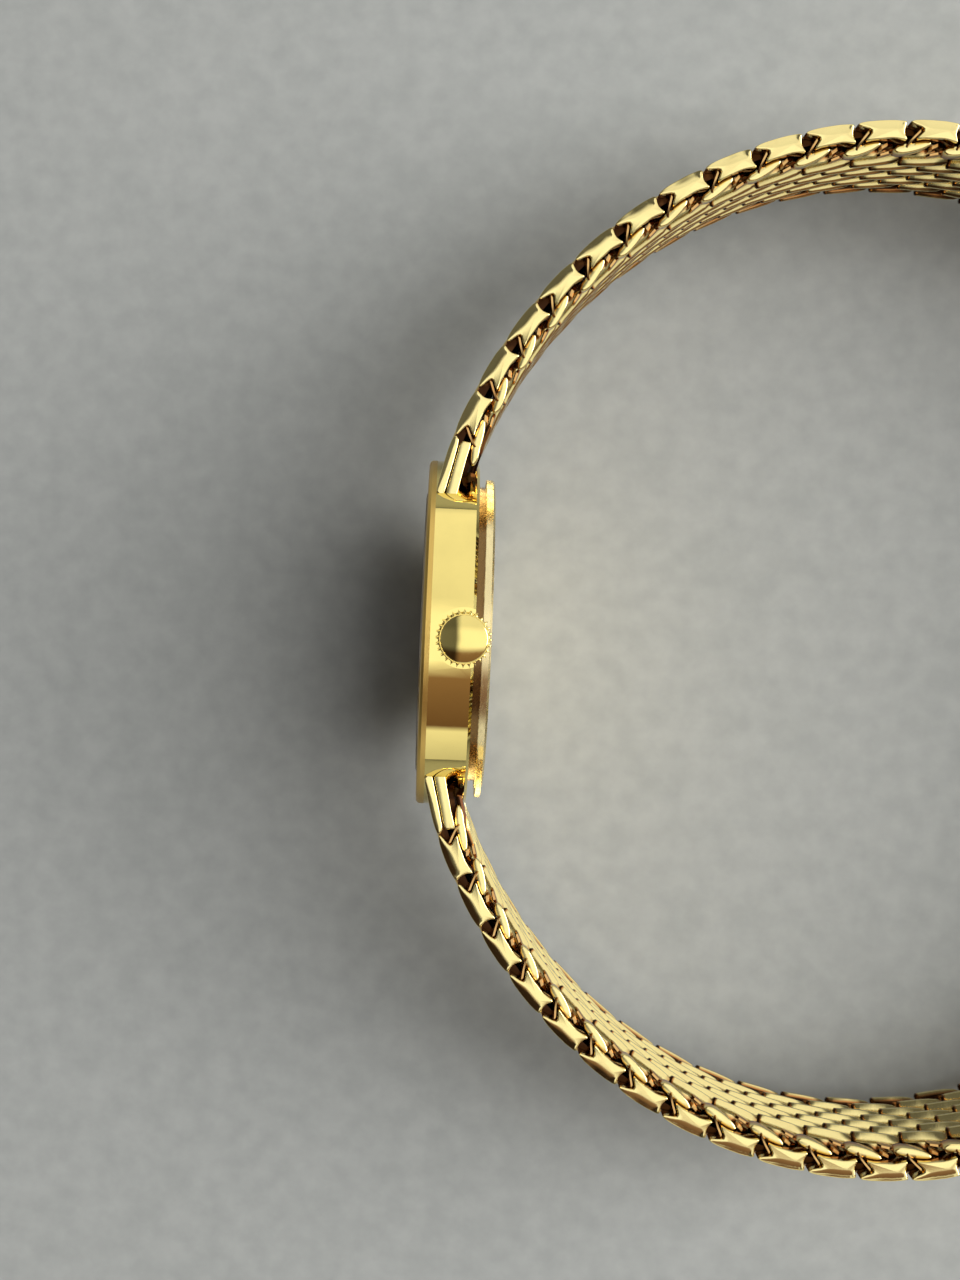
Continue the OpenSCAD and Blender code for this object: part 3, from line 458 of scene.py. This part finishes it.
# Edge plate: a fork of two prongs at the case's side takes in the slanted head of the plate before it
plate_outline = [
    (-1.39, 0.69), (-1.14, 0.60), (-0.88, 0.53), (-0.72, 0.47), (-0.60, 0.38), (-0.72, 0.24), (-0.90, 0.07),
    (-1.04, -0.08), (-1.13, -0.24), (-0.94, -0.20), (-0.68, -0.13), (-0.17, -0.12), (0.52, -0.10),
    (0.86, -0.16),
    (1.16, -0.24), (1.38, -0.30), (1.34, -0.20), (1.24, 0.0), (1.19, 0.24), (1.26, 0.48), (1.36, 0.68),
    (1.47, 0.82), (1.26, 0.90), (0.66, 0.98), (-0.14, 1.0), (-0.84, 0.97), (-1.34, 0.89), (-1.53, 0.80)]
PLATE_SOFT = 0.07
edge_plate = stamped(plate_outline, plate_z, half_w, 44, PLATE_SOFT, shoulder=0.52)

# Long oval of the second line, and the bars seen in the forks and between the ovals, copper from painted
# shade
oval_outline = [
    (-0.84, -0.64), (-0.70, -0.83), (-0.30, -0.90), (0.30, -0.81), (0.90, -0.65), (1.30, -0.46),
    (1.46, -0.28),
    (1.38, -0.17), (1.10, -0.15), (0.60, -0.19), (0.0, -0.27), (-0.64, -0.40)]
oval = stamped(oval_outline, 4.7, 5.86, 24, 0.12, 0.06)
hidden_bars = merged([
    strand([
        (-0.14, -0.54, -0.44, 5.3, 5.8), (-0.02, -0.58, -0.22, 5.2, 6.10), (0.38, -0.12, 0.22, 5.2, 6.22),
        (0.72, 0.22, 0.54, 5.2, 6.20), (0.86, 0.42, 0.54, 5.3, 6.0)]),
    strand([
        (1.40, -0.62, -0.40, 4.8, 5.2), (1.55, -0.64, -0.22, 4.7, 5.40), (1.9, -0.48, -0.10, 4.7, 5.42),
        (2.25, -0.40, -0.16, 4.8, 5.2)]),
    strand([
        (1.35, -0.90, -0.74, 4.5, 4.8), (1.5, -0.92, -0.66, 4.4, 5.1), (2.0, -0.86, -0.56, 4.4, 5.12),
        (2.25, -0.80, -0.62, 4.5, 4.9)])])

# Links between the edges: on the inside a leaf with a blunt end at the case and a point away from it,
# rising towards the crown's side, with a ledge that faces the crown's side; on the outside a fuller bar.
# Heights are from the middle of the line.
leaf_section = [
    (1.0, 0.98), (0.86, 0.10), (0.16, -0.45), (-0.06, -0.96), (-0.24, -1.0), (-0.75, -0.88),
    (-1.0, -0.4), (-0.96, 0.98)]
leaf = strand([
    (-1.32, -0.84, -0.40, -0.66, -0.06), (-1.24, -0.96, -0.2, -0.80, 0.16),
    (-1.06, -0.98, -0.15, -0.79, 0.30), (-0.8, -0.99, -0.1, -0.76, 0.44), (0.0, -1.0, -0.1, -0.62, 0.60),
    (0.7, -0.99, -0.1, -0.40, 0.68), (1.15, -0.96, -0.2, -0.10, 0.70),
    (1.42, -0.86, -0.5, 0.30, 0.64)], section=leaf_section[::-1])
outer_bar = strand([
    (-1.46, 0.45, 0.72, -0.35, 0.10), (-1.30, 0.2, 0.88, -0.58, 0.40), (-0.7, 0.1, 0.98, -0.64, 0.58),
    (0.0, 0.1, 1.0, -0.62, 0.62), (0.7, 0.1, 0.98, -0.58, 0.64), (1.30, 0.2, 0.88, -0.40, 0.58),
    (1.46, 0.45, 0.72, -0.10, 0.35)], 8, 0.7)


def pin(x, z0, z1, r, columns=10, bevel=0.06):
    """A straight pin along z with a small bevel on each end."""
    v = 2 * math.pi * np.arange(columns) / columns
    z = np.array([z0, z0 + bevel, z1 - bevel, z1])[:, None]
    k = np.array([r - bevel, r, r, r - bevel])[:, None]
    return capped(np.stack([x + k * np.cos(v), k * np.sin(v), z + 0 * v], -1))


PIN_R = 0.3
pins = merged([pin(x, -half_w + 0.1, half_w - LINE_W - 0.25, PIN_R) for x in (-PITCH / 4, PITCH / 4)])


def line_z(line):
    """Height of the middle of a line, the first line at the crown's side."""
    return half_w - (line + 0.5) * LINE_W


def lifted(shape, z):
    """The shape moved up by z."""
    points, faces = shape
    return points + [0, 0, z], faces


odd_shape = merged([edge_plate]
    + [lifted(part, line_z(line)) for line in range(2, LINES, 2) for part in (leaf, outer_bar)] + [pins])
even_shape = merged([upside_down(edge_plate), oval, lifted(outer_bar, line_z(1))]
    + [lifted(part, line_z(line)) for line in range(3, LINES - 1, 2) for part in (leaf, outer_bar)]
    + [hidden_bars])


def link_uv(shape, copies):
    """UV of each point of a link: u along the link, v round its section."""
    p = shape[0]
    return np.tile(np.stack([p[:, 0] / PITCH + 0.5, p[:, 2] * 2 + np.abs(p[:, 1])], -1), (copies, 1))


def painted_shade_of(shape, hidden, level, copies):
    """Painted shade of each point, by how deep it lies: as given for the last points, which belong to the
    hidden part, and otherwise growing between the edges of the band towards the middle of its thickness and
    the ends of the link."""
    p = np.abs(shape[0])
    x, y, _ = shape[0].T
    depth = np.clip(1.3 - p[:, 1] / 0.4, 0, 1) + 0.8 * np.clip((p[:, 0] - 1.25) / 0.3, 0, 1)
    depth += np.clip((-1.1 - x) / 0.1, 0, 1) * (y < -0.15)
    depth *= p[:, 2] < half_w - LINE_W + 0.1
    depth[(p[:, 2] > 4.0) & (p[:, 2] < 5.2) & (p[:, 1] < 0.85)] = 0.9
    depth[len(p) - len(hidden[0]):] = level
    return np.tile(depth, copies)


# Painted shade of the bars, which turns them copper, and of the pins, in the tone of the links
BAR_SHADE = 0.42
PIN_SHADE = 1.0
SEGMENT_LINKS = 4
LINK_ANGLE = 33
for side, half in ((1, "upper"), (-1, "lower")):
    for number in range(1, 7):
        first = 2 * SEGMENT_LINKS * (number - 1)
        flips = [side < 0] * SEGMENT_LINKS
        shapes = [
            placed(odd_shape, link_frames(first, SEGMENT_LINKS, side), flips),
            placed(even_shape, link_frames(first + 1, SEGMENT_LINKS, side), flips)]
        uv = np.concatenate([link_uv(odd_shape, SEGMENT_LINKS), link_uv(even_shape, SEGMENT_LINKS)])
        # Painted shade of every point of the segment's links
        depth = np.concatenate([
            painted_shade_of(odd_shape, pins, PIN_SHADE, SEGMENT_LINKS),
            painted_shade_of(even_shape, hidden_bars, BAR_SHADE, SEGMENT_LINKS)])
        piece(
            f"woven_links_{half}_{number}", merged(shapes), bracelet_gold, f"{half}_{number}",
            [f"{half}_links_{number}"], LINK_ANGLE, uv, depth)

# End pieces: the same weave stretched from the case to the first pin, soldered to the case


def stretched(shape, x0, x1):
    """The shape with its own span of x mapped to x0 to x1."""
    points, faces = shape
    low, high = points[:, 0].min(), points[:, 0].max()
    points = points.copy()
    points[:, 0] = x0 + (points[:, 0] - low) * (x1 - x0) / (high - low)
    return points, faces


# Share of Y in the band's direction at the first pin, and how far the end pieces' bars run into the case
CASE_R = 10.5
Y_SHARE = 0.92
INTO_CASE = 0.3


def case_reach(z):
    """Distance back along the band from the first pin to just inside the case at height z."""
    return -(FIRST_PIN_Y - np.sqrt(CASE_R ** 2 - z ** 2)) / Y_SHARE - INTO_CASE


outer_bar_outline = [
    (-1.5, 0.47), (0.0, 0.46), (1.26, 0.48), (1.47, 0.82), (1.26, 0.90), (0.66, 0.98), (-0.14, 1.0),
    (-1.5, 0.98)]
inner_bar_outline = [
    (-1.5, -0.28), (0.5, -0.22), (1.38, -0.26), (1.22, 0.1), (1.24, 0.40), (0.0, 0.38), (-1.5, 0.39)]
end_bars = [
    stamped(outline, plate_z, half_w, 24, PLATE_SOFT, shoulder=wide)
    for outline, wide in ((outer_bar_outline, 0.2), (inner_bar_outline, 0.0))]
ends = []
for line in range(LINES):
    z = line_z(line)
    start, stop = case_reach(min(abs(z) + 0.5, 6.5)), (0.82 if line % 2 else -0.72)
    if line == 0:
        ends += [stretched(part, start, stop - 0.02) for part in end_bars]
    elif line == LINES - 1:
        ends += [stretched(upside_down(part), start, stop) for part in end_bars]
    else:
        ends += [lifted(stretched(part, start, stop), z) for part in (leaf, outer_bar)]
ends += [stretched(oval, -1.9, 0.86), (hidden_bars[0] - [PITCH / 4, 0, 0], hidden_bars[1])]
end_shape = merged(ends)

# From 0.8 mm before the first pin on, the end piece leans towards the case's middle
LEAN = 0.17
end_shape[0][:, 1] -= LEAN * np.clip(-end_shape[0][:, 0] - 0.8, 0, None)
for side, half in ((1, "upper"), (-1, "lower")):
    at = link_frames(0, 1, side)
    at[:, 0, :2] = pin_at(np.arange(1)) * [1, side]
    # The end pieces get the same painted shade in their joints
    piece(
        f"{half}_woven_end", placed(end_shape, at, [side < 0]), bracelet_gold, "case",
        [f"{half}_end_piece"], LINK_ANGLE, link_uv(end_shape, 1),
        painted_shade_of(end_shape, hidden_bars, BAR_SHADE, 1))

# Crown: a fluted skirt under a bare dome


def crown_shape(radius=1.62, flutes=28, low=10.75, high=12.75, x=-1.6):
    """Rings along z. Radius is r(h) minus d(h) |sin(flutes a / 2)|^0.8, where the flute depth d fades at
    both edges of the skirt; the dome's height grows as 0.27 (1 - (r / R)^2) over the last rings."""
    a = 2 * math.pi * np.arange(flutes * 8) / (flutes * 8)
    wave = np.abs(np.sin(flutes * a / 2)) ** 0.8
    top = high - 0.28
    rings = [
        (0.9, low, 0), (radius - 0.14, low, 0.02), (radius - 0.04, low + 0.06, 0.16),
        (radius, low + 0.16, 0.25), (radius, top - 0.16, 0.25), (radius - 0.02, top - 0.08, 0.24),
        (radius - 0.10, top - 0.02, 0.14), (radius - 0.22, top - 0.01, 0.03), (radius - 0.25, top - 0.05, 0),
        (radius - 0.28, top - 0.05, 0)]
    rings += [
        (r, top + 0.27 * (1 - (r / 1.33) ** 2), 0) for r in (1.32, 1.26, 1.15, 0.98, 0.76, 0.5, 0.2, 0.04)]
    r, z, d = np.array(rings).T[:, :, None]
    k = r - d * wave
    return capped(np.stack([x + k * np.cos(a), k * np.sin(a), z + 0 * a], -1))


piece("fluted_crown", crown_shape(), crown_gold, "crown", ["crown"], 60)

# Floor and light

# The watch lies on the case band and the clasp cover, so the floor passes through the low points of both
low_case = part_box("case_band")
low_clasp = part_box("clasp_cover")
touch = np.array([low_case[1][0], low_case[0][2]]), np.array([low_clasp[1][0], low_clasp[0][2]])
slope = math.atan2(touch[1][1] - touch[0][1], touch[1][0] - touch[0][0])
level = touch[0][1] - math.tan(slope) * touch[0][0]
floor_mesh = bpy.data.meshes.new("floor")
REACH = 1.6
square = ((-REACH, -REACH), (REACH, -REACH), (REACH, REACH), (-REACH, REACH))
corners = [(x, y, level + math.tan(slope) * x) for x, y in square]
floor_mesh.from_pydata(corners, [], [(0, 1, 2, 3)])
floor = bpy.data.objects.new("floor", floor_mesh)
bpy.context.scene.collection.objects.link(floor)
f = Nodes("floor_grey")
f.tint(f.noise(700, detail=8), (0.325, 0.333, 0.322), (0.375, 0.38, 0.368), 0.3, 0.7)
f.ramp(f.noise(300), 0.6, 0.8, f.shader.inputs["Roughness"])
f.set(Specular_IOR_Level=0.12)
floor_mesh.materials.append(f.material)


def lamp(name, at, size, power, colour=(1, 1, 1), target=(0.02, 0, 0)):
    """A square soft lamp that faces the target."""
    light = bpy.data.lights.new(name, "AREA")
    light.shape = "RECTANGLE"
    light.size, light.size_y = size
    light.energy = power
    light.color = colour
    made = bpy.data.objects.new(name, light)
    bpy.context.scene.collection.objects.link(made)
    towards = Matrix.Translation(at).translation - Matrix.Translation(target).translation
    made.matrix_world = Matrix.Translation(at) @ towards.to_track_quat("Z", "Y").to_matrix().to_4x4()
    return made


WINDOW_WATTS = 10.6
CEILING_WATTS = 2.7
lamp("window_lamp", (0.98, 0.12, 0.54), (0.72, 0.56), WINDOW_WATTS, (1, 0.995, 0.975))
ceiling_lamp = lamp("ceiling_lamp", (0.26, 0.03, 0.52), (0.4, 0.4), CEILING_WATTS, (0.985, 1, 0.995))
ceiling_lamp.visible_glossy = False

# A plain studio round the watch, in degrees from straight up towards 12 o'clock: table, pale walls, a white
# soft box overhead and a dark card on the 6 o'clock side
TABLE = (0.45, 0.45, 0.43)
EDGE_OF_TABLE = (0.60, 0.60, 0.58)
SOFT_BOX = (1.25, 1.25, 1.22)
studio = (
    (-180, TABLE), (-96, EDGE_OF_TABLE), (-66, (0.95, 0.95, 0.92)), (-62, (0.16, 0.09, 0.06)),
    (-28, (0.28, 0.17, 0.12)), (-17, SOFT_BOX), (14, SOFT_BOX), (24, (0.95, 0.95, 0.92)),
    (86, (1.05, 1.05, 1.02)), (96, EDGE_OF_TABLE), (180, TABLE),
)

# Share of the studio's level that rays from matt surfaces see, and the grey that the camera sees beyond the
# floor
FILL_SHARE = 0.38
BACKDROP = (0.34, 0.337, 0.323, 1)

# The dial's side of the studio is shaded: level by the direction's X
shaded_side = ((-1.0, 0.30), (-0.80, 0.15), (-0.26, 0.12), (-0.10, 1.0))
world = bpy.data.worlds.new("studio")
world.use_nodes = True
bpy.context.scene.world = world
tree = world.node_tree
background = tree.nodes["Background"]


def studio_node(kind, **inputs):
    """A node of the studio with constants on its inputs."""
    node = tree.nodes.new(kind)
    for key, value in inputs.items():
        node.inputs[key.replace("_", " ")].default_value = value
    return node


def fill_ramp(node, stops):
    """Gives a colour ramp its stops, each a position and a colour."""
    marks = node.color_ramp.elements
    for i, (position, colour) in enumerate(stops):
        mark = marks[i] if i < 2 else marks.new(1.0)
        mark.position = position
        mark.color = (*colour, 1)


direction = studio_node("ShaderNodeTexCoord")
parts = studio_node("ShaderNodeSeparateXYZ")
angle = studio_node("ShaderNodeMath")
angle.operation = "ARCTAN2"
turn = studio_node("ShaderNodeMapRange", From_Min=-math.pi, From_Max=math.pi)
walls = studio_node("ShaderNodeValToRGB")
fill_ramp(walls, [((degrees + 180) / 360, colour) for degrees, colour in studio])
across = studio_node("ShaderNodeMapRange", From_Min=-1.0, From_Max=1.0)
side = studio_node("ShaderNodeValToRGB")
fill_ramp(side, [((position + 1) / 2, (value,) * 3) for position, value in shaded_side])
shade = studio_node("ShaderNodeVectorMath")
shade.operation = "MULTIPLY"
seen = studio_node("ShaderNodeLightPath")
fill_level = studio_node("ShaderNodeMapRange", From_Min=0.0, From_Max=1.0, To_Min=1.0, To_Max=FILL_SHARE)
filled = studio_node("ShaderNodeVectorMath")
filled.operation = "SCALE"
choice = studio_node("ShaderNodeMix")
choice.data_type = "RGBA"
choice.inputs[7].default_value = BACKDROP
for source, target in (
    (direction.outputs["Generated"], parts.inputs[0]), (parts.outputs["Y"], angle.inputs[0]),
    (parts.outputs["Z"], angle.inputs[1]), (angle.outputs[0], turn.inputs["Value"]),
    (turn.outputs["Result"], walls.inputs["Fac"]), (walls.outputs["Color"], shade.inputs[0]),
    (parts.outputs["X"], across.inputs["Value"]), (across.outputs["Result"], side.inputs["Fac"]),
    (side.outputs["Color"], shade.inputs[1]), (shade.outputs[0], filled.inputs[0]),
    (seen.outputs["Is Diffuse Ray"], fill_level.inputs["Value"]),
    (fill_level.outputs["Result"], filled.inputs["Scale"]),
    (filled.outputs[0], choice.inputs[6]), (seen.outputs["Is Camera Ray"], choice.inputs[0]),
    (choice.outputs[2], background.inputs["Color"]),
):
    tree.links.new(source, target)
